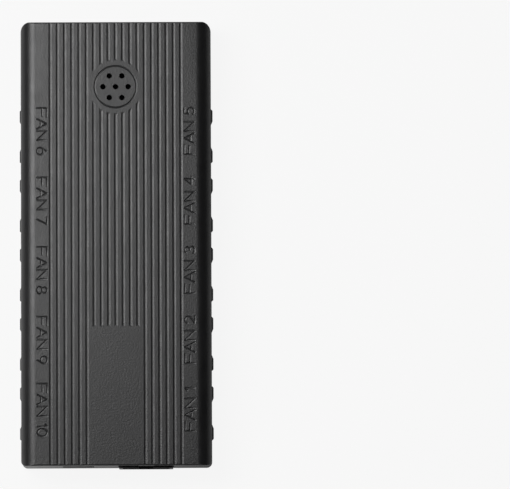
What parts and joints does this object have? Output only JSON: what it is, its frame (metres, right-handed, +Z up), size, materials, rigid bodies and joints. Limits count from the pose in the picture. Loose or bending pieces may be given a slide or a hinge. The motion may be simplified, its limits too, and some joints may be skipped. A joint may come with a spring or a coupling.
{
  "type": "pc fan controller hub",
  "caption": "Flat black plastic fan controller hub: multi-pin fan sockets along both long sides, power and sync sockets in one end, a grooved top and a sounder grille.",
  "frame": {"origin": "middle of the underside", "axes": "+Z up out of the grooved top, +Y along the hub towards the sounder grille, +X towards ports 1 to 5"},
  "size_m": [0.0524, 0.1206, 0.017],
  "materials": {
    "black_abs": "fine spark texture",
    "black_nylon": "satin",
    "board_laminate": "solder mask",
    "tinned_brass": "tin plated",
    "black_steel": "black zinc",
    "chip_mould": "matt epoxy",
    "steel_can": "satin",
    "aluminium_can": "satin",
    "ferrite": "matt",
    "fuse_polymer": "matt"
  },
  "bodies": {
    "root": {"bottom_cover": "black_abs", "buzzer": "black_nylon", "buzzer_legs": "tinned_brass", "circuit_board": "board_laminate", "cover_screws": "black_steel", "crystal": "steel_can", "fan_header_1": "black_nylon", "fan_header_10": "black_nylon", "fan_header_2": "black_nylon", "fan_header_3": "black_nylon", "fan_header_4": "black_nylon", "fan_header_5": "black_nylon", "fan_header_6": "black_nylon", "fan_header_7": "black_nylon", "fan_header_8": "black_nylon", "fan_header_9": "black_nylon", "fan_pins_1": "tinned_brass", "fan_pins_10": "tinned_brass", "fan_pins_2": "tinned_brass", "fan_pins_3": "tinned_brass", "fan_pins_4": "tinned_brass", "fan_pins_5": "tinned_brass", "fan_pins_6": "tinned_brass", "fan_pins_7": "tinned_brass", "fan_pins_8": "tinned_brass", "fan_pins_9": "tinned_brass", "filter_capacitor_1": "aluminium_can", "filter_capacitor_2": "aluminium_can", "filter_inductor": "ferrite", "microcontroller": "chip_mould", "power_pins": "tinned_brass", "power_socket": "black_nylon", "power_transistor": "chip_mould", "radio_receiver": "chip_mould", "resettable_fuse": "fuse_polymer", "sync_pins": "tinned_brass", "sync_socket": "black_nylon", "top_cover": "black_abs", "voltage_regulator": "chip_mould"}
  },
  "joints": []
}
